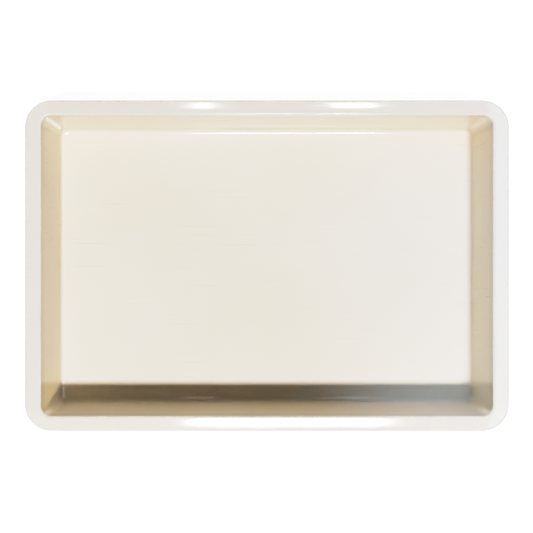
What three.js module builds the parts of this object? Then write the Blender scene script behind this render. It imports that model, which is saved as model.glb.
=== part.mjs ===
// A deep developing tray, moulded in one piece: a flat floor, four drafted walls, a flat rim flange
// and a turned-down outer lip. The shell is the same thickness all over.
//
// Units are millimetres. +Z is up, +X runs along the tray's length to its right end and +Y runs
// across it to the rear. The origin is on the underside of the floor, in the middle.
//
// The moulding is divided into its regions (floor, coves, walls, flange, lip, each with its sides
// and corners), and every region is a closed solid that meets its neighbours face to face.

import * as THREE from 'three';

// Driving dimensions.
const TRAY_LENGTH = 508;
const TRAY_WIDTH = 347;
const TRAY_HEIGHT = 76;
const SHELL_THICKNESS = 3;
const SIDE_FLANGE_WIDTH = 16.1; // along the front and the rear
const END_FLANGE_WIDTH = 17.4; // along the left and the right end
const TRAY_CORNER_RADIUS = 28;
const OPENING_CORNER_RADIUS = 11;
const WALL_RUN = 3; // how far a wall leans outwards between the floor and the rim
const COVE_RADIUS = 5; // inside, between the floor and a wall
const RIM_EDGE_RADIUS = 2; // where a wall turns into the flange
const LIP_HEIGHT = 10; // from the top of the flange to the lip's lower edge
const LIP_THICKNESS = 2.6;
const LIP_EDGE_RADIUS = 1;
const CORNER_PLANE_INSET = 0.6; // the corners start this far inside the ends of their arcs

// How finely the round stretches are divided.
const CORNER_STEPS = 10;
const COVE_STEPS = 5;
const EDGE_STEPS = 3;

// The plastic.
const IVORY = 0xece6d9;
const GLOSS_ROUGHNESS = 0.22;

// Sizes worked out from the ones above.
const OPENING_LENGTH = TRAY_LENGTH - 2 * END_FLANGE_WIDTH;
const OPENING_WIDTH = TRAY_WIDTH - 2 * SIDE_FLANGE_WIDTH;
const FLANGE_UNDERSIDE = TRAY_HEIGHT - SHELL_THICKNESS;
const DRAFT = Math.atan(WALL_RUN / (TRAY_HEIGHT - SHELL_THICKNESS));
const COVE_REACH = COVE_RADIUS * Math.tan((Math.PI / 2 - DRAFT) / 2);
const STRAIGHT_HALF_LENGTH = OPENING_LENGTH / 2 - OPENING_CORNER_RADIUS - CORNER_PLANE_INSET;
const STRAIGHT_HALF_WIDTH = TRAY_WIDTH / 2 - TRAY_CORNER_RADIUS - CORNER_PLANE_INSET;

// The tray's sides and corners in order, anticlockwise seen from above. A side faces `angle` and a
// corner turns a quarter from `angle` on.
const SIDES = [
  { name: 'right', angle: 0 },
  { name: 'rear', angle: Math.PI / 2 },
  { name: 'left', angle: Math.PI },
  { name: 'front', angle: 1.5 * Math.PI },
];
const CORNERS = [
  { name: 'rear_right', x: 1, y: 1, angle: 0 },
  { name: 'rear_left', x: -1, y: 1, angle: Math.PI / 2 },
  { name: 'front_left', x: -1, y: -1, angle: Math.PI },
  { name: 'front_right', x: 1, y: -1, angle: 1.5 * Math.PI },
];

/** The tray's plan outline `offset` outside the opening's edge (negative is inside it). */
function outlineAt(offset) {
  const across = Math.max(offset, 0) / SIDE_FLANGE_WIDTH;
  const fullRadius = OPENING_CORNER_RADIUS + SIDE_FLANGE_WIDTH;
  return {
    halfLength: OPENING_LENGTH / 2 + offset + across * (END_FLANGE_WIDTH - SIDE_FLANGE_WIDTH),
    halfWidth: OPENING_WIDTH / 2 + offset,
    radius: OPENING_CORNER_RADIUS + offset + across * (TRAY_CORNER_RADIUS - fullRadius),
  };
}

/** The two ends of the outline's straight stretch on one side, anticlockwise. */
function sidePoints(side, offset) {
  const { halfLength, halfWidth } = outlineAt(offset);
  const facing = new THREE.Vector2(Math.round(Math.cos(side.angle)), Math.round(Math.sin(side.angle)));
  const middle = new THREE.Vector2(facing.x * halfLength, facing.y * halfWidth);
  const along = new THREE.Vector2(-facing.y * STRAIGHT_HALF_LENGTH, facing.x * STRAIGHT_HALF_WIDTH);
  return [middle.clone().sub(along), middle.clone().add(along)];
}

/** The outline's points round one corner, from the end of one side to the start of the next. */
function cornerPoints(corner, offset) {
  const { halfLength, halfWidth, radius } = outlineAt(offset);
  const arc = new THREE.EllipseCurve(
    corner.x * (halfLength - radius),
    corner.y * (halfWidth - radius),
    radius,
    radius,
    corner.angle,
    corner.angle + Math.PI / 2,
  ).getPoints(CORNER_STEPS);
  const onEnd = new THREE.Vector2(corner.x * halfLength, corner.y * STRAIGHT_HALF_WIDTH);
  const onSide = new THREE.Vector2(corner.x * STRAIGHT_HALF_LENGTH, corner.y * halfWidth);
  const endFirst = corner.x === corner.y;
  return endFirst ? [onEnd, ...arc, onSide] : [onSide, ...arc, onEnd];
}

/** A closed solid: the section (offset, height) carried along the plan points of every offset. */
function sweepSection(section, planPoints) {
  const paths = section.map((point) => planPoints(point.x));
  const stations = paths[0].length;
  const size = section.length;
  const positions = [];
  for (let station = 0; station < stations; station += 1) {
    section.forEach((point, i) => {
      positions.push(paths[i][station].x, paths[i][station].y, point.y);
    });
  }
  const indices = [];
  for (let station = 0; station < stations - 1; station += 1) {
    for (let i = 0; i < size; i += 1) {
      const here = station * size + i;
      const next = station * size + ((i + 1) % size);
      indices.push(here, next + size, next);
      indices.push(here, here + size, next + size);
    }
  }
  const lastStation = (stations - 1) * size;
  for (const [a, b, c] of THREE.ShapeUtils.triangulateShape(section, [])) {
    indices.push(a, b, c);
    indices.push(lastStation + a, lastStation + c, lastStation + b);
  }
  const geometry = new THREE.BufferGeometry();
  geometry.setAttribute('position', new THREE.Float32BufferAttribute(positions, 3));
  geometry.setIndex(indices);
  geometry.computeVertexNormals();
  return geometry;
}

/** Points along an arc of the section, from one angle to another, both ends included. */
function sectionArc(centre, radius, startAngle, endAngle, steps) {
  const clockwise = endAngle < startAngle;
  const arc = new THREE.EllipseCurve(
    centre.x, centre.y, radius, radius, startAngle, endAngle, clockwise,
  );
  return arc.getPoints(steps);
}

/** Offset of the wall's inner face at one height. */
function wallOffset(height) {
  return (height - TRAY_HEIGHT) * Math.tan(DRAFT);
}

const coveCentre = new THREE.Vector2(-WALL_RUN - COVE_REACH, SHELL_THICKNESS + COVE_RADIUS);
const wallThicknessAcross = SHELL_THICKNESS / Math.cos(DRAFT);

/** The cove: a band of even thickness that turns from the floor up into the wall. */
function coveSection() {
  const down = -Math.PI / 2;
  const outer = sectionArc(coveCentre, COVE_RADIUS + SHELL_THICKNESS, down, -DRAFT, COVE_STEPS);
  const inner = sectionArc(coveCentre, COVE_RADIUS, -DRAFT, down, COVE_STEPS);
  return [...outer, ...inner];
}

/** The wall: a leaning strip from the top of the cove to the underside of the flange. */
function wallSection() {
  const [outerFoot, innerFoot] = [COVE_RADIUS + SHELL_THICKNESS, COVE_RADIUS].map((radius) => (
    new THREE.Vector2(radius * Math.cos(DRAFT), -radius * Math.sin(DRAFT)).add(coveCentre)
  ));
  const innerTop = new THREE.Vector2(wallOffset(FLANGE_UNDERSIDE), FLANGE_UNDERSIDE);
  const outerTop = new THREE.Vector2(innerTop.x + wallThicknessAcross, FLANGE_UNDERSIDE);
  return [innerFoot, outerFoot, outerTop, innerTop];
}

/** The flange: a flat strip, rounded where the wall runs into it and along its outer edge. */
function flangeSection() {
  const rimReach = RIM_EDGE_RADIUS * Math.tan((Math.PI / 2 - DRAFT) / 2);
  const rimCentre = new THREE.Vector2(rimReach, TRAY_HEIGHT - RIM_EDGE_RADIUS);
  const edgeCentre = new THREE.Vector2(SIDE_FLANGE_WIDTH - SHELL_THICKNESS, FLANGE_UNDERSIDE);
  const up = Math.PI / 2;
  return [
    new THREE.Vector2(wallOffset(FLANGE_UNDERSIDE), FLANGE_UNDERSIDE),
    ...sectionArc(edgeCentre, SHELL_THICKNESS, 0, up, EDGE_STEPS),
    ...sectionArc(rimCentre, RIM_EDGE_RADIUS, up, Math.PI - DRAFT, EDGE_STEPS),
  ];
}

/** The lip: an upright strip under the flange's outer edge, rounded along its lower edge. */
function lipSection() {
  const inside = SIDE_FLANGE_WIDTH - LIP_THICKNESS;
  const bottom = TRAY_HEIGHT - LIP_HEIGHT;
  const outerCentre = new THREE.Vector2(SIDE_FLANGE_WIDTH - LIP_EDGE_RADIUS, bottom + LIP_EDGE_RADIUS);
  return [
    new THREE.Vector2(inside, FLANGE_UNDERSIDE),
    new THREE.Vector2(inside, bottom),
    ...sectionArc(outerCentre, LIP_EDGE_RADIUS, -Math.PI / 2, 0, EDGE_STEPS),
    new THREE.Vector2(SIDE_FLANGE_WIDTH, FLANGE_UNDERSIDE),
  ];
}

/** The flat floor, out to the foot of the coves. */
function floorGeometry() {
  const outline = CORNERS.flatMap((corner) => cornerPoints(corner, coveCentre.x));
  return new THREE.ExtrudeGeometry(new THREE.Shape(outline), {
    depth: SHELL_THICKNESS,
    bevelEnabled: false,
  });
}

/** One named piece of the moulding, in its own ivory plastic. */
function moulded(name, geometry) {
  const plastic = new THREE.MeshStandardMaterial({
    color: IVORY,
    roughness: GLOSS_ROUGHNESS,
    metalness: 0,
  });
  const mesh = new THREE.Mesh(geometry, plastic);
  mesh.name = name;
  return mesh;
}

/** The four sides and the four corners of one region. */
function ring(name, section) {
  const group = new THREE.Group();
  for (const side of SIDES) {
    const geometry = sweepSection(section, (offset) => sidePoints(side, offset));
    group.add(moulded(`${name}_${side.name}`, geometry));
  }
  for (const corner of CORNERS) {
    const geometry = sweepSection(section, (offset) => cornerPoints(corner, offset));
    group.add(moulded(`${name}_corner_${corner.name}`, geometry));
  }
  return group;
}

const tray = new THREE.Group();
tray.name = 'developing_tray';
tray.add(moulded('floor_panel', floorGeometry()));
tray.add(ring('cove', coveSection()));
tray.add(ring('wall', wallSection()));
tray.add(ring('flange', flangeSection()));
tray.add(ring('lip', lipSection()));

export default tray;
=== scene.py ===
"""A deep ivory developing tray for a darkroom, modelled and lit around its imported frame.

The tray is one moulding. Its shell is built here as three closed pieces that meet on flat or
straight-sided stretches of the wall, where the joins can't be seen: the floor pan, the wall band
and the rim with its turned-down lip. All sizes are in metres.
"""

import logging
import math
from dataclasses import dataclass, field, replace
from enum import Enum

import bmesh
import bpy
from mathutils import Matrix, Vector


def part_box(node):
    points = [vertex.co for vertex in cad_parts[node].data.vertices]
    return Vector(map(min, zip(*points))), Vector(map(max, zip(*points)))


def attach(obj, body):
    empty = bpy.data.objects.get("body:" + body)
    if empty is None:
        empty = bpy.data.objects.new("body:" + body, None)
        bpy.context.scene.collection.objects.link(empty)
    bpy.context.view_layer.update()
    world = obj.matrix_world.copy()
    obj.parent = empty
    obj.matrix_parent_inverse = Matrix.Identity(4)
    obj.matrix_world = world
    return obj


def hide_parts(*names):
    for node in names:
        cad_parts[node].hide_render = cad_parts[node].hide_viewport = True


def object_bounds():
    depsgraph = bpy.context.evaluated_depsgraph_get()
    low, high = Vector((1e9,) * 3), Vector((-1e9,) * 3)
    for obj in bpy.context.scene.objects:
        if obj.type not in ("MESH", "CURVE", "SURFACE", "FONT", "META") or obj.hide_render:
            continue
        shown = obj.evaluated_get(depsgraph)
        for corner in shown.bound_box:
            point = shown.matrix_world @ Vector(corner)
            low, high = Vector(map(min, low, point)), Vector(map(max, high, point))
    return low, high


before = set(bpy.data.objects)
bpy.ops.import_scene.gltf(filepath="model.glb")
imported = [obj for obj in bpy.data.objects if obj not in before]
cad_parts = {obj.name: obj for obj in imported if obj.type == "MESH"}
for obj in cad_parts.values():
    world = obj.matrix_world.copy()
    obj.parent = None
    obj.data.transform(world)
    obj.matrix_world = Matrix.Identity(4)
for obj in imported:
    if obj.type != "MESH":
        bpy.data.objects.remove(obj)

CAD_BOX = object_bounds()
LOG = logging.getLogger("developing_tray")

MM = 0.001
BODY = "root"
WEAR = "wear"
QUARTER = math.pi / 2
COMBINED_CURVE = 3

Colour = tuple[float, float, float]
WHITE: Colour = (1.0, 1.0, 1.0)


class Region(Enum):
    """The moulding's regions, by what their parts' names in the frame start with."""

    FLOOR = "floor_panel"
    COVE = "cove"
    WALL = "wall"
    FLANGE = "flange"
    LIP = "lip"

    def nodes(self) -> list[str]:
        """The frame's parts that belong to this region."""
        return sorted(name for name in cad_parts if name.startswith(self.value))


class Shading(Enum):
    """How the faces on the two sides of a ring are shaded."""

    SMOOTH = "smooth"
    CREASED = "creased"


# Sizes


@dataclass(frozen=True)
class Outline:
    """A rounded rectangle seen from above."""

    half_length: float
    half_width: float
    radius: float


@dataclass(frozen=True)
class TraySizes:
    """The tray's driving sizes: those read off the frame's parts, and the radii of its curves."""

    half_length: float
    half_width: float
    height: float
    thickness: float
    opening_half_length: float
    opening_half_width: float
    wall_run: float
    lip_bottom: float
    lip_thickness: float
    corner_radius: float = 28 * MM
    opening_radius: float = 11 * MM
    cove_radius: float = 5 * MM
    rim_radius: float = 2 * MM

    @classmethod
    def from_frame(cls) -> "TraySizes":
        """Work the sizes out from the boxes of the parts.

        Returns:
            The sizes that the visible shell is built to.
        """
        _, high = CAD_BOX
        floor_low, floor_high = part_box("floor_panel")
        thickness = floor_high.z - floor_low.z
        lip_low, lip_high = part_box("lip_rear")
        flange_low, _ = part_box("flange_rear")
        end_flange_low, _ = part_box("flange_right")
        wall_low, wall_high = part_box("wall_rear")
        wall_inner_foot = wall_low.y
        lean = (flange_low.y - wall_inner_foot) / (wall_high.z - wall_low.z)
        rim_step = lean * thickness
        return cls(
            half_length=high.x,
            half_width=high.y,
            height=high.z,
            thickness=thickness,
            opening_half_length=end_flange_low.x + rim_step,
            opening_half_width=flange_low.y + rim_step,
            wall_run=lean * (high.z - thickness),
            lip_bottom=lip_low.z,
            lip_thickness=lip_high.y - lip_low.y,
        )

    @property
    def draft(self) -> float:
        """The walls' lean from upright, in radians."""
        return math.atan(self.wall_run / (self.height - self.thickness))

    @property
    def side_flange(self) -> float:
        """Width of the flange along the front and the rear."""
        return self.half_width - self.opening_half_width

    @property
    def end_flange(self) -> float:
        """Width of the flange along the two ends."""
        return self.half_length - self.opening_half_length

    def wall_offset(self, height: float) -> float:
        """Offset of the wall's inner face at one height."""
        return (height - self.height) * math.tan(self.draft)

    def outline(self, offset: float) -> Outline:
        """The plan outline outside (or, below zero, inside) the opening's edge.

        Args:
            offset: Distance outside the opening's edge, as measured at the front and the rear.

        Returns:
            The rounded rectangle that a ring at that offset follows.
        """
        across = max(offset, 0.0) / self.side_flange
        full_radius = self.opening_radius + self.side_flange
        return Outline(
            self.opening_half_length + offset + across * (self.end_flange - self.side_flange),
            self.opening_half_width + offset,
            self.opening_radius + offset + across * (self.corner_radius - full_radius),
        )


# The shell's section


@dataclass(frozen=True)
class SectionPoint:
    """One point of the shell's section: where it is and how exposed to knocks."""

    offset: float
    height: float
    wear: float = 0.0
    shading: Shading = Shading.SMOOTH


@dataclass
class Section:
    """A run of points round the shell's section, in the order that the ring is carried."""

    points: list[SectionPoint] = field(default_factory=list)

    def to(
        self, offset: float, height: float, wear: float = 0.0, shading: Shading = Shading.SMOOTH
    ) -> "Section":
        """Add one point.

        Args:
            offset: Distance outside the opening's edge.
            height: Height above the base.
            wear: How exposed the place is to knocks, 0 to 1.
            shading: Whether the shading breaks here.

        Returns:
            The section itself, so that calls can be chained.
        """
        self.points.append(SectionPoint(offset, height, wear, shading))
        return self

    def arc(
        self,
        centre: tuple[float, float],
        radius: float,
        start: float,
        end: float,
        steps: int,
        wear: float = 0.0,
    ) -> "Section":
        """Add the points of an arc, both ends included.

        Args:
            centre: Offset and height of the arc's centre.
            radius: The arc's radius.
            start: First angle, in radians from straight outwards, positive upwards.
            end: Last angle.
            steps: Number of stretches that the arc is divided into.
            wear: How exposed the middle of the arc is, fading to nothing at its ends.

        Returns:
            The section itself.
        """
        for step in range(steps + 1):
            share = step / steps
            angle = start + (end - start) * share
            self.to(
                centre[0] + radius * math.cos(angle),
                centre[1] + radius * math.sin(angle),
                wear * math.sin(math.pi * share),
            )
        return self


@dataclass(frozen=True)
class ShellMaker:
    """Turns a section into a closed mesh by carrying a rounded rectangle from point to point."""

    sizes: TraySizes
    corner_steps: int = 24
    weld: float = 0.001 * MM

    def first_ring(self, bm: bmesh.types.BMesh, point: SectionPoint) -> list[bmesh.types.BMEdge]:
        """Add the ring of edges that passes through the section's first point.

        Args:
            bm: The mesh being built.
            point: The section point that the ring follows round the tray.

        Returns:
            The ring's edges.
        """
        outline = self.sizes.outline(point.offset)
        made = bmesh.ops.create_grid(bm, x_segments=1, y_segments=1, size=1.0)["verts"]
        bmesh.ops.scale(bm, vec=(outline.half_length, outline.half_width, 1.0), verts=made)
        bmesh.ops.translate(bm, vec=(0.0, 0.0, point.height), verts=made)
        rounded = bmesh.ops.bevel(
            bm,
            geom=made,
            offset=outline.radius,
            offset_type="OFFSET",
            segments=self.corner_steps,
            profile=0.5,
            affect="VERTICES",
            material=-1,
        )
        face = rounded["verts"][0].link_faces[0]
        edges = list(face.edges)
        bmesh.ops.delete(bm, geom=[face], context="FACES_ONLY")
        self._mark(bm, edges, point)
        return edges

    def carry(
        self,
        bm: bmesh.types.BMesh,
        ring: list[bmesh.types.BMEdge],
        before: SectionPoint,
        after: SectionPoint,
    ) -> list[bmesh.types.BMEdge]:
        """Extrude a ring to the section's next point.

        Args:
            bm: The mesh being built.
            ring: The edges of the ring so far.
            before: The section point that the ring is at.
            after: The section point that the new ring goes to.

        Returns:
            The new ring's edges.
        """
        made = bmesh.ops.extrude_edge_only(bm, edges=ring)["geom"]
        verts = [part for part in made if isinstance(part, bmesh.types.BMVert)]
        old = self.sizes.outline(before.offset)
        new = self.sizes.outline(after.offset)
        old_centre = Vector((old.half_length - old.radius, old.half_width - old.radius))
        new_centre = Vector((new.half_length - new.radius, new.half_width - new.radius))
        for vert in verts:
            side = Vector((math.copysign(1.0, vert.co.x), math.copysign(1.0, vert.co.y)))
            outwards = (vert.co.xy - side * old_centre) / old.radius
            vert.co.xy = side * new_centre + outwards * new.radius
            vert.co.z = after.height
        known = set(verts)
        edges = [
            part for part in made
            if isinstance(part, bmesh.types.BMEdge) and known.issuperset(part.verts)
        ]
        self._mark(bm, edges, after)
        return edges

    @staticmethod
    def _mark(
        bm: bmesh.types.BMesh, ring: list[bmesh.types.BMEdge], point: SectionPoint
    ) -> None:
        """Note a ring's wear on its points, and its crease on its edges.

        Args:
            bm: The mesh being built.
            ring: The ring's edges.
            point: The section point that the ring is at.
        """
        layer = bm.verts.layers.float[WEAR]
        for edge in ring:
            edge.smooth = point.shading is Shading.SMOOTH
            for vert in edge.verts:
                vert[layer] = point.wear

    def build(self, name: str, section: Section, closes: bool) -> bpy.types.Object:
        """Build one piece of the shell.

        Args:
            name: The piece's name.
            section: Its section, either all the way round or from one middle to the other.
            closes: True where the section runs back to its start, False where its first and
                last rings are each filled with a flat face.

        Returns:
            The finished object, at the origin.
        """
        bm = bmesh.new()
        bm.verts.layers.float.new(WEAR)
        points = section.points + section.points[:1] if closes else section.points
        first = self.first_ring(bm, points[0])
        ring = first
        for before, after in zip(points, points[1:]):
            ring = self.carry(bm, ring, before, after)
        if closes:
            bmesh.ops.remove_doubles(bm, verts=bm.verts, dist=self.weld)
        else:
            bmesh.ops.edgeloop_fill(bm, edges=first)
            bmesh.ops.edgeloop_fill(bm, edges=ring)
        bmesh.ops.recalc_face_normals(bm, faces=bm.faces)
        for face in bm.faces:
            face.smooth = True
        mesh = bpy.data.meshes.new(name)
        bm.to_mesh(mesh)
        bm.free()
        piece = bpy.data.objects.new(name, mesh)
        bpy.context.scene.collection.objects.link(piece)
        return piece


# Effects that every finish uses


@dataclass(frozen=True)
class Grain:
    """A noise, and the band of its values over which a mask made from it rises.

    `cells` are counted along a metre of the coordinates that the noise is given.
    """

    cells: float
    octaves: float = 2.0
    harshness: float = 0.5
    clear: float = 0.0
    full: float = 1.0


ORANGE_PEEL = Grain(520.0)
WAVINESS = Grain(9.0, octaves=1.0, harshness=0.4)
GLOSS_DRIFT = Grain(26.0, octaves=4.0, harshness=0.6, clear=0.3, full=0.7)
HAIRLINES = Grain(1.0, clear=0.66, full=0.76)
HAIRLINE_STRETCH = (7.0, 620.0, 40.0)
HAIRLINE_TURNS = (0.25, 1.1, 1.9, 2.7)
SCRATCHED_PATCHES = Grain(11.0, clear=0.48, full=0.66)
YELLOWED_PATCHES = Grain(5.0, octaves=3.0, harshness=0.55, clear=0.3, full=0.7)
YELLOWED_SHARE = 0.8
SPECKLE = Grain(160.0)
RUBBED_PATCHES = Grain(230.0, octaves=5.0, harshness=0.7, clear=0.44, full=0.60)
# Painted shade on the rim: the patches and drift that make its darker band uneven.
RIM_SHADE_PATCHES = Grain(14.0, octaves=4.0, harshness=0.6, clear=0.3, full=0.62)
RIM_SHADE_DRIFT = 0.3
SPECK_CELLS = 150.0
SPECK_OUTSIDE = 0.09
SPECK_INSIDE = 0.05
DUSTY_PATCHES = Grain(37.0, clear=0.58, full=0.66)


def opaque(colour: Colour) -> tuple[float, float, float, float]:
    """A colour with the fourth channel that a colour socket needs."""
    return (*colour, 1.0)


class Effect:
    """A shader node group under construction, with named inputs and outputs."""

    def __init__(self, name: str) -> None:
        """Start an empty group.

        Args:
            name: The group's name.
        """
        self.tree = bpy.data.node_groups.new(name, "ShaderNodeTree")
        self.source = self.tree.nodes.new("NodeGroupInput")
        self.sink = self.tree.nodes.new("NodeGroupOutput")

    def takes(self, name: str, default: float) -> None:
        """Add a number input."""
        socket = self.tree.interface.new_socket(name, in_out="INPUT", socket_type="NodeSocketFloat")
        socket.default_value = default

    def takes_colour(self, name: str, default: Colour) -> None:
        """Add a colour input."""
        socket = self.tree.interface.new_socket(name, in_out="INPUT", socket_type="NodeSocketColor")
        socket.default_value = opaque(default)

    def gives(self, name: str, value: bpy.types.NodeSocket, kind: str = "NodeSocketFloat") -> None:
        """Add an output and join a value to it."""
        self.tree.interface.new_socket(name, in_out="OUTPUT", socket_type=kind)
        self.tree.links.new(value, self.sink.inputs[name])

    def input(self, name: str) -> bpy.types.NodeSocket:
        """The socket that brings an input into the group."""
        return self.source.outputs[name]

    def node(self, kind: str, **settings: object) -> bpy.types.Node:
        """Add a node.

        Args:
            kind: The node's type.
            settings: Its plain properties, by name.

        Returns:
            The new node.
        """
        made = self.tree.nodes.new(kind)
        for name, value in settings.items():
            setattr(made, name, value)
        return made

    def join(self, value: object, socket: bpy.types.NodeSocket) -> None:
        """Link a socket to an input, or set the input to a plain value.

        Args:
            value: A socket or a plain value.
            socket: The input.
        """
        if isinstance(value, bpy.types.NodeSocket):
            self.tree.links.new(value, socket)
        else:
            socket.default_value = value

    def maths(self, operation: str, first: object, second: object) -> bpy.types.NodeSocket:
        """Do one sum on two numbers.

        Args:
            operation: The sum.
            first: A socket or a number.
            second: A socket or a number.

        Returns:
            The sum's result.
        """
        made = self.node("ShaderNodeMath", operation=operation)
        self.join(first, made.inputs[0])
        self.join(second, made.inputs[1])
        return made.outputs[0]

    def place(
        self, turn: float = 0.0, stretch: tuple[float, float, float] = (1.0, 1.0, 1.0)
    ) -> bpy.types.NodeSocket:
        """The piece's own coordinates, turned about the upright axis and stretched.

        Args:
            turn: Angle in radians.
            stretch: Scale along each axis.

        Returns:
            The vector socket.
        """
        place = self.node("ShaderNodeTexCoord")
        mapping = self.node("ShaderNodeMapping")
        mapping.inputs["Rotation"].default_value = (0.0, 0.0, turn)
        mapping.inputs["Scale"].default_value = stretch
        self.join(place.outputs["Object"], mapping.inputs["Vector"])
        return mapping.outputs["Vector"]

    def noise(self, place: bpy.types.NodeSocket, grain: Grain) -> bpy.types.NodeSocket:
        """A noise value at a place.

        Args:
            place: The coordinates.
            grain: The noise's settings.

        Returns:
            The noise's value, around 0.5.
        """
        made = self.node("ShaderNodeTexNoise")
        self.join(place, made.inputs["Vector"])
        self.join(grain.cells, made.inputs["Scale"])
        self.join(grain.octaves, made.inputs["Detail"])
        self.join(grain.harshness, made.inputs["Roughness"])
        return made.outputs["Fac"]

    def between(
        self, value: bpy.types.NodeSocket, low: object, high: object
    ) -> bpy.types.NodeSocket:
        """A mask that rises smoothly from 0 to 1 as a value goes from low to high.

        Args:
            value: The value.
            low: Where the mask is 0, a socket or a number.
            high: Where the mask is 1, a socket or a number.

        Returns:
            The mask.
        """
        made = self.node("ShaderNodeMapRange", interpolation_type="SMOOTHSTEP")
        self.join(value, made.inputs["Value"])
        self.join(low, made.inputs["From Min"])
        self.join(high, made.inputs["From Max"])
        return made.outputs["Result"]

    def patches(self, place: bpy.types.NodeSocket, grain: Grain) -> bpy.types.NodeSocket:
        """A mask of the places where a noise is high."""
        return self.between(self.noise(place, grain), grain.clear, grain.full)

    def mix(self, share: object, first: object, second: object) -> bpy.types.NodeSocket:
        """A colour between two colours.

        Args:
            share: How much of the second there is, 0 to 1.
            first: A socket or a plain colour.
            second: A socket or a plain colour.

        Returns:
            The mixed colour.
        """
        made = self.node("ShaderNodeMix", data_type="RGBA")
        self.join(share, made.inputs["Factor"])
        self.join(first, made.inputs["A"])
        self.join(second, made.inputs["B"])
        return made.outputs["Result"]


def moulded_skin() -> bpy.types.NodeTree:
    """The skin that plastic takes from its mould.

    Returns:
        A group that gives the height of fine orange peel and slow waviness in metres, and a
        gloss value that drifts slowly around one half.
    """
    effect = Effect("moulded_skin")
    effect.takes("Peel Height", 0.01 * MM)
    effect.takes("Wave Height", 0.1 * MM)
    place = effect.place()
    peel = effect.noise(place, ORANGE_PEEL)
    wave = effect.noise(place, WAVINESS)
    peel_height = effect.maths("MULTIPLY", peel, effect.input("Peel Height"))
    wave_height = effect.maths("MULTIPLY", wave, effect.input("Wave Height"))
    effect.gives("Height", effect.maths("ADD", peel_height, wave_height))
    effect.gives("Gloss", effect.noise(place, GLOSS_DRIFT))
    return effect.tree


def fine_scratches() -> bpy.types.NodeTree:
    """Hairline scratches from sheets, tongs and cloths, in four directions.

    Returns:
        A group that gives a mask of the scratches.
    """
    effect = Effect("fine_scratches")
    effect.takes("Amount", 0.5)
    total = 0.0
    for index, turn in enumerate(HAIRLINE_TURNS):
        lines = effect.patches(effect.place(turn, HAIRLINE_STRETCH), HAIRLINES)
        grain = replace(SCRATCHED_PATCHES, cells=SCRATCHED_PATCHES.cells + index)
        where = effect.patches(effect.place(turn + index), grain)
        streaks = effect.maths("MULTIPLY", lines, where)
        total = effect.maths("MAXIMUM", total, streaks)
    effect.gives("Mask", effect.maths("MULTIPLY", total, effect.input("Amount")))
    return effect.tree


def aged_tone() -> bpy.types.NodeTree:
    """Ivory plastic that has yellowed a little, unevenly.

    Returns:
        A group that gives the plastic's colour.
    """
    effect = Effect("aged_tone")
    effect.takes_colour("Fresh", WHITE)
    effect.takes_colour("Aged", WHITE)
    effect.takes("Unevenness", 0.5)
    place = effect.place()
    broad = effect.maths("MULTIPLY", effect.patches(place, YELLOWED_PATCHES), YELLOWED_SHARE)
    fine = effect.maths("MULTIPLY", effect.noise(place, SPECKLE), 1.0 - YELLOWED_SHARE)
    both = effect.maths("ADD", broad, fine)
    share = effect.maths("MULTIPLY", both, effect.input("Unevenness"))
    tone = effect.mix(share, effect.input("Fresh"), effect.input("Aged"))
    effect.gives("Colour", tone, "NodeSocketColor")
    return effect.tree


def edge_wear() -> bpy.types.NodeTree:
    """Edges rubbed paler and duller, where the section says that they are exposed.

    Returns:
        A group that gives a mask of the rubbed places.
    """
    effect = Effect("edge_wear")
    effect.takes("Amount", 0.5)
    exposed = effect.node("ShaderNodeAttribute", attribute_name=WEAR)
    broken = effect.patches(effect.place(), RUBBED_PATCHES)
    rubbed = effect.maths("MULTIPLY", exposed.outputs["Fac"], broken)
    effect.gives("Mask", effect.maths("MULTIPLY", rubbed, effect.input("Amount")))
    return effect.tree


def handling_film() -> bpy.types.NodeTree:
    """A darker, greyer band painted over the top of the rim as shade, uneven along it.

    Returns:
        A group that gives a mask that rises from `Start` to `Full`, heights in metres.
    """
    effect = Effect("handling_film")
    effect.takes("Start", 60 * MM)
    effect.takes("Full", 70 * MM)
    effect.takes("Amount", 0.5)
    place = effect.place()
    parts = effect.node("ShaderNodeSeparateXYZ")
    effect.join(place, parts.inputs["Vector"])
    by_height = effect.between(parts.outputs["Z"], effect.input("Start"), effect.input("Full"))
    drift = effect.maths("MULTIPLY", effect.patches(place, RIM_SHADE_PATCHES), RIM_SHADE_DRIFT)
    uneven = effect.maths("ADD", drift, 1.0 - RIM_SHADE_DRIFT)
    film = effect.maths("MULTIPLY", by_height, uneven)
    effect.gives("Mask", effect.maths("MULTIPLY", film, effect.input("Amount")))
    return effect.tree


def settled_dust() -> bpy.types.NodeTree:
    """Specks of dust and dried drops.

    Returns:
        A group that gives a mask of the specks.
    """
    effect = Effect("settled_dust")
    effect.takes("Amount", 0.5)
    place = effect.place()
    cells = effect.node("ShaderNodeTexVoronoi", feature="F1")
    effect.join(place, cells.inputs["Vector"])
    effect.join(SPECK_CELLS, cells.inputs["Scale"])
    specks = effect.between(cells.outputs["Distance"], SPECK_OUTSIDE, SPECK_INSIDE)
    dusty = effect.maths("MULTIPLY", specks, effect.patches(place, DUSTY_PATCHES))
    effect.gives("Mask", effect.maths("MULTIPLY", dusty, effect.input("Amount")))
    return effect.tree


@dataclass(frozen=True)
class EffectSet:
    """The effects, each built once and placed in every finish."""

    skin: bpy.types.NodeTree
    scratches: bpy.types.NodeTree
    tone: bpy.types.NodeTree
    wear: bpy.types.NodeTree
    # Painted shade: a darker, greyer band over the rim's top.
    film: bpy.types.NodeTree
    dust: bpy.types.NodeTree

    @classmethod
    def build(cls) -> "EffectSet":
        """Build all the groups.

        Returns:
            The finished set.
        """
        return cls(
            skin=moulded_skin(),
            scratches=fine_scratches(),
            tone=aged_tone(),
            wear=edge_wear(),
            film=handling_film(),
            dust=settled_dust(),
        )


# Finishes


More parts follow.
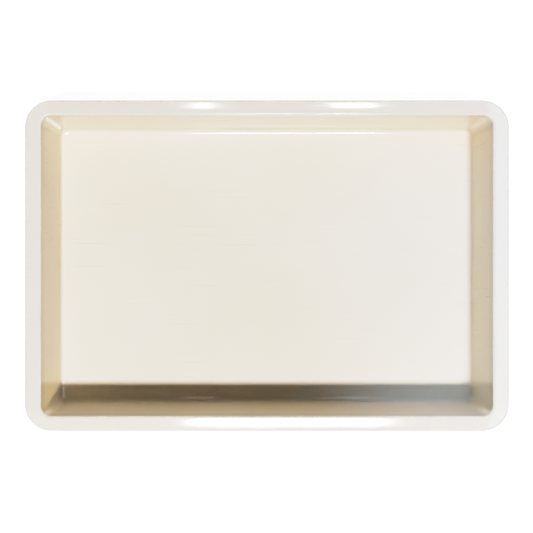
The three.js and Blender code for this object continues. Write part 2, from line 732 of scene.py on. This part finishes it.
@dataclass(frozen=True)
class Layer:
    """A layer over the plastic: the effect that masks it, its colour and how it dulls the gloss."""

    effect: bpy.types.Node
    colour: Colour
    dulling: float = 0.0

    @property
    def mask(self) -> bpy.types.NodeSocket:
        """The socket that says where the layer shows."""
        return self.effect.outputs["Mask"]


@dataclass(frozen=True)
class IvoryPlastic:
    """Glossy ivory plastic, with its own share of each effect."""

    name: str
    fresh: Colour = (0.750, 0.661, 0.515)
    aged: Colour = (0.715, 0.609, 0.446)
    rubbed: Colour = (0.90, 0.84, 0.72)
    # Colour of the painted shade over the rim's top.
    rim_shade_colour: Colour = (0.648, 0.577, 0.486)
    grime: Colour = (0.50, 0.42, 0.32)
    refraction: float = 1.5
    roughness: float = 0.06
    roughness_drift: float = 0.04
    unevenness: float = 0.9
    peel_height: float = 0.0022 * MM
    wave_height: float = 0.05 * MM
    scratches: float = 0.6
    scratch_depth: float = 0.004 * MM
    scratch_dulling: float = 0.3
    wear: float = 0.35
    wear_dulling: float = 0.35
    # Strength of the painted shade on the rim, and the heights over which it rises.
    film: float = 1.0
    film_start: float = 60 * MM
    film_full: float = 70 * MM
    dust: float = 0.45
    dust_dulling: float = 0.5

    def build(self, effects: EffectSet) -> bpy.types.Material:
        """Build the material.

        Args:
            effects: The shared effect groups.

        Returns:
            The finished material.
        """
        material = bpy.data.materials.new(self.name)
        material.use_nodes = True
        tree = material.node_tree
        shader = tree.nodes["Principled BSDF"]
        shader.inputs["IOR"].default_value = self.refraction
        tones = {"Fresh": opaque(self.fresh), "Aged": opaque(self.aged)}
        tone = self._placed(tree, effects.tone, {**tones, "Unevenness": self.unevenness})
        heights = {"Peel Height": self.peel_height, "Wave Height": self.wave_height}
        skin = self._placed(tree, effects.skin, heights)
        scratches = self._placed(tree, effects.scratches, {"Amount": self.scratches})
        wear = self._placed(tree, effects.wear, {"Amount": self.wear})
        # Painted shade: the rim's top gets a darker, greyer colour that rises with height.
        reach = {"Start": self.film_start, "Full": self.film_full}
        film = self._placed(tree, effects.film, {**reach, "Amount": self.film})
        dust = self._placed(tree, effects.dust, {"Amount": self.dust})
        layers = (
            Layer(scratches, self.grime, self.scratch_dulling),
            Layer(film, self.rim_shade_colour),
            Layer(wear, self.rubbed, self.wear_dulling),
            Layer(dust, self.rubbed, self.dust_dulling),
        )
        self._colour(tree, shader, tone, layers)
        self._roughness(tree, shader, skin, layers)
        self._surface(tree, shader, skin, scratches)
        return material

    @staticmethod
    def _placed(
        tree: bpy.types.NodeTree, group: bpy.types.NodeTree, values: dict[str, object]
    ) -> bpy.types.Node:
        """Place an effect's group in the material.

        Args:
            tree: The material's nodes.
            group: The effect.
            values: What this material sets the effect's inputs to.

        Returns:
            The group's node.
        """
        node = tree.nodes.new("ShaderNodeGroup")
        node.node_tree = group
        for name, value in values.items():
            node.inputs[name].default_value = value
        return node

    @staticmethod
    def _colour(
        tree: bpy.types.NodeTree,
        shader: bpy.types.Node,
        tone: bpy.types.Node,
        layers: tuple[Layer, ...],
    ) -> None:
        """Join the colour: the tone, then each layer's own colour where its mask shows.

        Args:
            tree: The material's nodes.
            shader: Its shader.
            tone: The plastic's own tone.
            layers: The layers over it, lowest first.
        """
        below = tone.outputs["Colour"]
        for layer in layers:
            mix = tree.nodes.new("ShaderNodeMix")
            mix.data_type = "RGBA"
            tree.links.new(layer.mask, mix.inputs["Factor"])
            tree.links.new(below, mix.inputs["A"])
            mix.inputs["B"].default_value = opaque(layer.colour)
            below = mix.outputs["Result"]
        tree.links.new(below, shader.inputs["Base Color"])

    def _roughness(
        self,
        tree: bpy.types.NodeTree,
        shader: bpy.types.Node,
        skin: bpy.types.Node,
        layers: tuple[Layer, ...],
    ) -> None:
        """Join the roughness: a drifting gloss that each layer dulls.

        Args:
            tree: The material's nodes.
            shader: Its shader.
            skin: The moulded skin, whose gloss drifts.
            layers: The layers over it, lowest first.
        """
        drift = tree.nodes.new("ShaderNodeMapRange")
        tree.links.new(skin.outputs["Gloss"], drift.inputs["Value"])
        drift.inputs["From Min"].default_value = GLOSS_DRIFT.clear
        drift.inputs["From Max"].default_value = GLOSS_DRIFT.full
        drift.inputs["To Min"].default_value = self.roughness
        drift.inputs["To Max"].default_value = self.roughness + self.roughness_drift
        total = drift.outputs["Result"]
        for layer in layers:
            add = tree.nodes.new("ShaderNodeMath")
            add.operation = "MULTIPLY_ADD"
            tree.links.new(layer.mask, add.inputs[0])
            add.inputs[1].default_value = layer.dulling
            tree.links.new(total, add.inputs[2])
            total = add.outputs[0]
        tree.links.new(total, shader.inputs["Roughness"])

    def _surface(
        self,
        tree: bpy.types.NodeTree,
        shader: bpy.types.Node,
        skin: bpy.types.Node,
        scratches: bpy.types.Node,
    ) -> None:
        """Join the bump: the moulded skin with the scratches cut into it.

        Args:
            tree: The material's nodes.
            shader: Its shader.
            skin: The moulded skin, whose height is in metres.
            scratches: The scratches, as a mask.
        """
        cut = tree.nodes.new("ShaderNodeMath")
        cut.operation = "MULTIPLY_ADD"
        tree.links.new(scratches.outputs["Mask"], cut.inputs[0])
        cut.inputs[1].default_value = -self.scratch_depth
        tree.links.new(skin.outputs["Height"], cut.inputs[2])
        bump = tree.nodes.new("ShaderNodeBump")
        bump.inputs["Distance"].default_value = 1.0
        tree.links.new(cut.outputs[0], bump.inputs["Height"])
        tree.links.new(bump.outputs["Normal"], shader.inputs["Normal"])


@dataclass(frozen=True)
class PaleFloor:
    """The matt white floor that the tray stands on."""

    name: str = "pale_floor"
    colour: Colour = (0.92, 0.92, 0.91)
    roughness: float = 0.9
    glow: float = 2.2

    def build(self) -> bpy.types.Material:
        """Build the material.

        Returns:
            A matt white that glows for the camera alone, so that the glow lights nothing.
        """
        material = bpy.data.materials.new(self.name)
        material.use_nodes = True
        tree = material.node_tree
        shader = tree.nodes["Principled BSDF"]
        shader.inputs["Roughness"].default_value = self.roughness
        shader.inputs["Base Color"].default_value = opaque(self.colour)
        shader.inputs["Emission Color"].default_value = opaque(WHITE)
        seen = tree.nodes.new("ShaderNodeLightPath")
        strength = tree.nodes.new("ShaderNodeMath")
        strength.operation = "MULTIPLY"
        strength.inputs[1].default_value = self.glow
        tree.links.new(seen.outputs["Is Camera Ray"], strength.inputs[0])
        tree.links.new(strength.outputs[0], shader.inputs["Emission Strength"])
        return material


# The tray


@dataclass
class ShellPiece:
    """One visible piece of the moulding and the parts that it stands for."""

    name: str
    section: Section
    closes: bool
    finish: IvoryPlastic
    regions: tuple[Region, ...]

    def make(self, maker: ShellMaker, effects: EffectSet) -> bpy.types.Object:
        """Build, dress and mount the piece.

        Args:
            maker: Turns the section into a mesh.
            effects: The shared effect groups.

        Returns:
            The finished object.
        """
        piece = maker.build(self.name, self.section, self.closes)
        piece.data.materials.append(self.finish.build(effects))
        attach(piece, BODY)
        nodes = [node for region in self.regions for node in region.nodes()]
        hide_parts(*nodes)
        LOG.info("%s stands for %d parts", self.name, len(nodes))
        return piece


@dataclass
class DevelopingTray:
    """The moulding, as three closed pieces of one shell.

    `guard` is the short straight stretch beside an arc that keeps the flat past it flat in the
    shading, `crown_lean` is how far the flange's top leans at the opening and at its edge, and
    the exposures say how much knocks reach each edge, 0 to 1.
    """

    sizes: TraySizes
    pan_height: float = 16 * MM
    rim_start: float = 60 * MM
    guard: float = 0.5 * MM
    arc_steps: int = 10
    small_arc_steps: int = 5
    under_rim_radius: float = 2.5 * MM
    lip_edge_radius: float = 1.0 * MM
    lip_fillet: float = 1.6 * MM
    crown_steps: int = 12
    crown_lean: tuple[float, float] = (math.radians(1.5), math.radians(5.1))
    foot_exposure: float = 0.6
    opening_exposure: float = 0.5
    edge_exposure: float = 1.0
    under_lip_exposure: float = 0.4

    @property
    def wall_across(self) -> float:
        """Thickness of the wall, measured level."""
        return self.sizes.thickness / math.cos(self.sizes.draft)

    def cove_centre(self) -> tuple[float, float]:
        """Find the centre that the cove turns about.

        Returns:
            Its offset and its height.
        """
        sizes = self.sizes
        reach = sizes.cove_radius * math.tan((QUARTER - sizes.draft) / 2)
        return -sizes.wall_run - reach, sizes.thickness + sizes.cove_radius

    def floor_pan(self) -> ShellPiece:
        """Shape the flat floor with its coves and the foot of the walls.

        Returns:
            The piece, not yet made.
        """
        sizes = self.sizes
        centre = self.cove_centre()
        outer_radius = sizes.cove_radius + sizes.thickness
        section = Section()
        section.to(centre[0] - self.guard, sizes.thickness)
        section.arc(centre, sizes.cove_radius, -QUARTER, -sizes.draft, self.arc_steps)
        wall = sizes.wall_offset(self.pan_height)
        section.to(wall, self.pan_height, shading=Shading.CREASED)
        section.to(wall + self.wall_across, self.pan_height, shading=Shading.CREASED)
        section.arc(
            centre, outer_radius, -sizes.draft, -QUARTER, self.arc_steps, self.foot_exposure
        )
        section.to(centre[0] - self.guard, 0.0)
        finish = IvoryPlastic("ivory_floor", scratches=0.8)
        return ShellPiece("floor_pan", section, False, finish, (Region.FLOOR, Region.COVE))

    def wall_band(self) -> ShellPiece:
        """Shape the straight-sided middle of the walls.

        Returns:
            The piece, not yet made.
        """
        sizes = self.sizes
        section = Section()
        for height in (self.pan_height, self.rim_start):
            section.to(sizes.wall_offset(height), height, shading=Shading.CREASED)
        for height in (self.rim_start, self.pan_height):
            outside = sizes.wall_offset(height) + self.wall_across
            section.to(outside, height, shading=Shading.CREASED)
        finish = IvoryPlastic("ivory_walls")
        return ShellPiece("wall_band", section, True, finish, (Region.WALL,))

    def rim(self) -> ShellPiece:
        """Shape the top of the walls, the flange and the turned-down lip.

        Returns:
            The piece, not yet made.
        """
        sizes = self.sizes
        top = sizes.height
        outer = sizes.side_flange
        edge_radius = sizes.thickness
        rim_reach = sizes.rim_radius * math.tan((QUARTER - sizes.draft) / 2)
        under = top - sizes.thickness
        under_reach = self.under_rim_radius * math.tan((QUARTER + sizes.draft) / 2)
        wall_at_under = sizes.wall_offset(under) + self.wall_across
        lip_inner = outer - sizes.lip_thickness
        fillet = self.lip_fillet
        section = Section()
        section.to(sizes.wall_offset(self.rim_start), self.rim_start, shading=Shading.CREASED)
        rim_foot = top - sizes.rim_radius * 2
        section.to(sizes.wall_offset(rim_foot), rim_foot)
        section.arc(
            (rim_reach, top - sizes.rim_radius),
            sizes.rim_radius, math.pi - sizes.draft, QUARTER, self.arc_steps,
            self.opening_exposure,
        )
        drop = self._crown(section, rim_reach, outer - edge_radius)
        edge_middle = (outer - edge_radius, under - drop)
        section.arc(
            edge_middle, edge_radius, QUARTER, 0.0, self.arc_steps, self.edge_exposure
        )
        section.to(outer, under - drop - self.guard)
        lip_centre = (outer - self.lip_edge_radius, sizes.lip_bottom + self.lip_edge_radius)
        section.arc(
            lip_centre, self.lip_edge_radius, 0.0, -QUARTER, self.small_arc_steps,
            self.edge_exposure,
        )
        section.to(lip_inner, sizes.lip_bottom, self.under_lip_exposure, Shading.CREASED)
        section.arc(
            (lip_inner - fillet, under - fillet), fillet, 0.0, QUARTER, self.small_arc_steps
        )
        corner = wall_at_under + under_reach
        section.to(corner + self.guard, under)
        section.arc(
            (corner, under - self.under_rim_radius),
            self.under_rim_radius, QUARTER, math.pi - sizes.draft, self.small_arc_steps,
        )
        below = under - self.under_rim_radius * 2
        section.to(sizes.wall_offset(below) + self.wall_across, below)
        section.to(
            sizes.wall_offset(self.rim_start) + self.wall_across, self.rim_start,
            shading=Shading.CREASED,
        )
        finish = IvoryPlastic("ivory_rim", wear=0.6)
        return ShellPiece("rim_and_lip", section, True, finish, (Region.FLANGE, Region.LIP))

    def _crown(self, section: Section, start: float, end: float) -> float:
        """Add the flange's slightly crowned top, which falls away from the opening.

        Args:
            section: The section being built.
            start: Offset at which the crown begins, level with the rim.
            end: Offset at which the outer edge begins.

        Returns:
            How far the top has dropped by the outer edge.
        """
        drop = 0.0
        width = (end - start) / self.crown_steps
        first, last = self.crown_lean
        section.to(start + self.guard, self.sizes.height)
        for step in range(1, self.crown_steps):
            drop += width * math.tan(first + (last - first) * step / self.crown_steps)
            section.to(start + width * step, self.sizes.height - drop)
        return drop + width * math.tan(last)

    def make(self, effects: EffectSet) -> list[bpy.types.Object]:
        """Build the whole tray.

        Args:
            effects: The shared effect groups.

        Returns:
            The finished pieces.
        """
        maker = ShellMaker(self.sizes)
        pieces = (self.floor_pan(), self.wall_band(), self.rim())
        return [piece.make(maker, effects) for piece in pieces]


# The studio


def link(thing: bpy.types.Object) -> bpy.types.Object:
    """Put an object in the scene."""
    bpy.context.scene.collection.objects.link(thing)
    return thing


def aim(lamp: bpy.types.Object, target: Vector) -> None:
    """Turn a lamp, which shines along its own -Z, to face a target."""
    lamp.rotation_euler = (target - lamp.location).to_track_quat("-Z", "Y").to_euler()


@dataclass(frozen=True)
class Stage:
    """The floor round the tray."""

    half_size: float = 4.0
    squares: int = 8

    def make(self) -> bpy.types.Object:
        """Lay the floor.

        Returns:
            The floor.
        """
        bm = bmesh.new()
        squares = self.squares
        bmesh.ops.create_grid(bm, x_segments=squares, y_segments=squares, size=self.half_size)
        mesh = bpy.data.meshes.new("studio_floor")
        bm.to_mesh(mesh)
        bm.free()
        floor = link(bpy.data.objects.new("studio_floor", mesh))
        floor.data.materials.append(PaleFloor().build())
        return floor


@dataclass(frozen=True)
class Panel:
    """A far rectangular lamp, placed by the directions that it fills as seen from the tray.

    `across` and `along` are its ends over +X and over +Y, in degrees from upright.
    """

    name: str
    across: tuple[float, float]
    along: tuple[float, float]
    radiance: float
    colour: Colour = WHITE
    only_gloss: bool = True
    height: float = 6.0

    def make(self) -> bpy.types.Object:
        """Hang the lamp.

        Returns:
            The lamp, facing down.
        """
        left, right = (self.height * math.tan(math.radians(angle)) for angle in self.across)
        front, rear = (self.height * math.tan(math.radians(angle)) for angle in self.along)
        data = bpy.data.lights.new(self.name, "AREA")
        data.shape = "RECTANGLE"
        data.size = right - left
        data.size_y = rear - front
        data.energy = self.radiance * math.pi * data.size * data.size_y
        data.color = self.colour
        lamp = link(bpy.data.objects.new(self.name, data))
        lamp.location = ((left + right) / 2, (front + rear) / 2, self.height)
        lamp.visible_diffuse = not self.only_gloss
        lamp.visible_camera = False
        return lamp


@dataclass(frozen=True)
class Softbox:
    """A large soft lamp near the horizon, kept out of reflections."""

    name: str
    place: tuple[float, float, float]
    size: tuple[float, float]
    power: float
    colour: Colour
    target: tuple[float, float, float] = (0.0, 0.0, 0.04)

    def make(self) -> bpy.types.Object:
        """Hang the lamp.

        Returns:
            The lamp, facing its target.
        """
        data = bpy.data.lights.new(self.name, "AREA")
        data.shape = "RECTANGLE"
        data.size, data.size_y = self.size
        data.energy = self.power
        data.color = self.colour
        lamp = link(bpy.data.objects.new(self.name, data))
        lamp.location = self.place
        lamp.visible_glossy = False
        lamp.visible_camera = False
        aim(lamp, Vector(self.target))
        return lamp


@dataclass(frozen=True)
class Spot:
    """A soft-edged round lamp that lights one part of the tray, kept out of reflections.

    `cone` is the full angle of its beam in degrees.
    """

    name: str
    place: tuple[float, float, float]
    target: tuple[float, float, float]
    power: float
    colour: Colour
    cone: float
    radius: float
    blend: float = 1.0

    def make(self) -> bpy.types.Object:
        """Hang the lamp.

        Returns:
            The lamp, facing its target.
        """
        data = bpy.data.lights.new(self.name, "SPOT")
        data.energy = self.power
        data.color = self.colour
        data.spot_size = math.radians(self.cone)
        data.spot_blend = self.blend
        data.shadow_soft_size = self.radius
        lamp = link(bpy.data.objects.new(self.name, data))
        lamp.location = self.place
        lamp.visible_glossy = False
        aim(lamp, Vector(self.target))
        return lamp


def ceiling_panels() -> tuple[Panel, ...]:
    """The panels that the tray's gloss mirrors.

    Returns:
        The key lamp, its two counterparts behind the tray, and the faint panels of sky.
    """
    glint = 75.0
    return (
        Panel(
            "key", across=(-4.8, 10.7), along=(-21.5, -17.2),
            radiance=313.0, colour=(1.0, 0.98, 1.026), only_gloss=False,
        ),
        Panel(
            "sky_front", across=(-28.0, 30.0), along=(-27.0, -13.8),
            radiance=4.0, colour=(1.0, 0.88, 0.55), height=6.5,
        ),
        Panel("rear_glint_left", across=(-5.5, -3.7), along=(19.4, 23.2), radiance=glint),
        Panel("rear_glint_right", across=(6.8, 10.6), along=(20.0, 23.2), radiance=glint),
        Panel(
            "sky_left", across=(-34.0, -19.0), along=(-24.0, 30.0),
            radiance=1.6, colour=(0.75, 0.9, 1.0),
        ),
        Panel(
            "sky_right", across=(22.0, 42.0), along=(-26.0, 32.0),
            radiance=8.5, colour=(0.75, 0.95, 1.0),
        ),
    )


def soft_fills() -> tuple[Softbox, ...]:
    """The large soft lamps that fill the shadows.

    Returns:
        A cool one on the left and a warm one at the rear.
    """
    return (
        Softbox(
            "left_fill", place=(-2.5, 0.6, 0.6), size=(0.8, 0.5),
            power=6.0, colour=(0.3, 0.85, 1.0),
        ),
        Softbox(
            "rear_fill", place=(0.1, 3.0, 0.47), size=(2.4, 0.55),
            power=37.0, colour=(1.0, 0.88, 0.73),
        ),
    )


def window_spots() -> tuple[Spot, ...]:
    """The narrow beams that fall into the front of the tray.

    Returns:
        Three cool ones for the right end and a warm one for the left wall.
    """
    window = (0.25, 0.64, 2.08)
    return (
        Spot(
            "window_right", place=window, target=(0.24, 0.0, 0.03),
            power=73.0, colour=(0.1, 0.43, 1.0), cone=12.0, radius=0.06,
        ),
        Spot(
            "window_corner", place=window, target=(0.215, -0.145, 0.03),
            power=38.0, colour=(0.72, 0.85, 1.0), cone=7.6, radius=0.04,
        ),
        Spot(
            "window_low", place=(0.32, 1.6, 0.47), target=(0.21, -0.157, 0.04),
            power=42.0, colour=(0.4, 0.5, 0.88), cone=9.5, radius=0.05,
        ),
        Spot(
            "low_sun", place=(1.7, -0.377, 0.72), target=(-0.238, -0.145, 0.045),
            power=62.0, colour=(1.0, 0.76, 0.05), cone=2.4, radius=0.02,
        ),
    )


@dataclass(frozen=True)
class OverheadCamera:
    """A camera that looks straight down on the tray."""

    rim_height: float
    above_rim: float = 0.79
    aside: tuple[float, float] = (-0.015, 0.002)
    lens: float = 51.06
    sensor_width: float = 36.0
    shift: tuple[float, float] = (0.02604, -0.00518)
    clip_start: float = 0.05
    clip_end: float = 50.0

    def make(self) -> bpy.types.Object:
        """Set the camera up.

        Returns:
            The camera, set as the scene's camera.
        """
        data = bpy.data.cameras.new("overhead")
        data.lens = self.lens
        data.sensor_width = self.sensor_width
        data.shift_x, data.shift_y = self.shift
        data.clip_start = self.clip_start
        data.clip_end = self.clip_end
        camera = link(bpy.data.objects.new("overhead", data))
        camera.location = (*self.aside, self.rim_height + self.above_rim)
        bpy.context.scene.camera = camera
        return camera


@dataclass(frozen=True)
class Studio:
    """The room light, the lamps and the film's response.

    `film_curve` pairs a scene's brightness with the level that it is shown at, up to white.
    """

    room_light: Colour = (0.72, 0.9, 1.0)
    room_strength: float = 0.006
    room_gloss: float = 0.3
    backdrop_strength: float = 2.6
    film_curve: tuple[tuple[float, float], ...] = (
        (0.0, 0.0), (0.1, 0.086), (0.2, 0.18), (0.35, 0.315), (0.55, 0.48),
        (0.8, 0.66), (1.05, 0.765), (1.5, 0.85), (2.6, 1.0),
    )

    def light_room(self) -> None:
        """Give the room a faint even light, stronger in the gloss, and the camera a white backdrop."""
        world = bpy.data.worlds.new("room")
        world.use_nodes = True
        tree = world.node_tree
        background = tree.nodes["Background"]
        background.inputs["Color"].default_value = opaque(self.room_light)
        backdrop = tree.nodes.new("ShaderNodeBackground")
        backdrop.inputs["Color"].default_value = opaque(WHITE)
        backdrop.inputs["Strength"].default_value = self.backdrop_strength
        seen = tree.nodes.new("ShaderNodeLightPath")
        strength = tree.nodes.new("ShaderNodeMath")
        strength.operation = "MULTIPLY_ADD"
        strength.inputs[1].default_value = self.room_gloss
        strength.inputs[2].default_value = self.room_strength
        tree.links.new(seen.outputs["Is Glossy Ray"], strength.inputs[0])
        tree.links.new(strength.outputs[0], background.inputs["Strength"])
        either = tree.nodes.new("ShaderNodeMixShader")
        tree.links.new(seen.outputs["Is Camera Ray"], either.inputs["Fac"])
        tree.links.new(background.outputs["Background"], either.inputs[1])
        tree.links.new(backdrop.outputs["Background"], either.inputs[2])
        tree.links.new(either.outputs["Shader"], tree.nodes["World Output"].inputs["Surface"])
        bpy.context.scene.world = world

    def set_film(self) -> None:
        """Set a film-like response that rolls off towards white."""
        view = bpy.context.scene.view_settings
        view.view_transform = "Standard"
        view.look = "None"
        view.use_curve_mapping = True
        mapping = view.curve_mapping
        darkest, *middle, (white, white_shown) = self.film_curve
        mapping.white_level = (white,) * 3
        curve = mapping.curves[COMBINED_CURVE]
        curve.points[0].location = darkest
        curve.points[-1].location = (1.0, white_shown)
        for level, shown in middle:
            curve.points.new(level / white, shown)
        mapping.update()

    def make(self) -> None:
        """Set up the whole studio."""
        self.light_room()
        self.set_film()
        Stage().make()
        for lamp in (*ceiling_panels(), *soft_fills(), *window_spots()):
            lamp.make()
            LOG.info("%s hung", lamp.name)


def main() -> None:
    """Build the tray and its studio, and note the sizes."""
    logging.basicConfig(level=logging.INFO, format="%(message)s")
    sizes = TraySizes.from_frame()
    LOG.info("sizes %s", sizes)
    DevelopingTray(sizes).make(EffectSet.build())
    Studio().make()
    OverheadCamera(sizes.height).make()


if __name__ == "__main__":
    main()
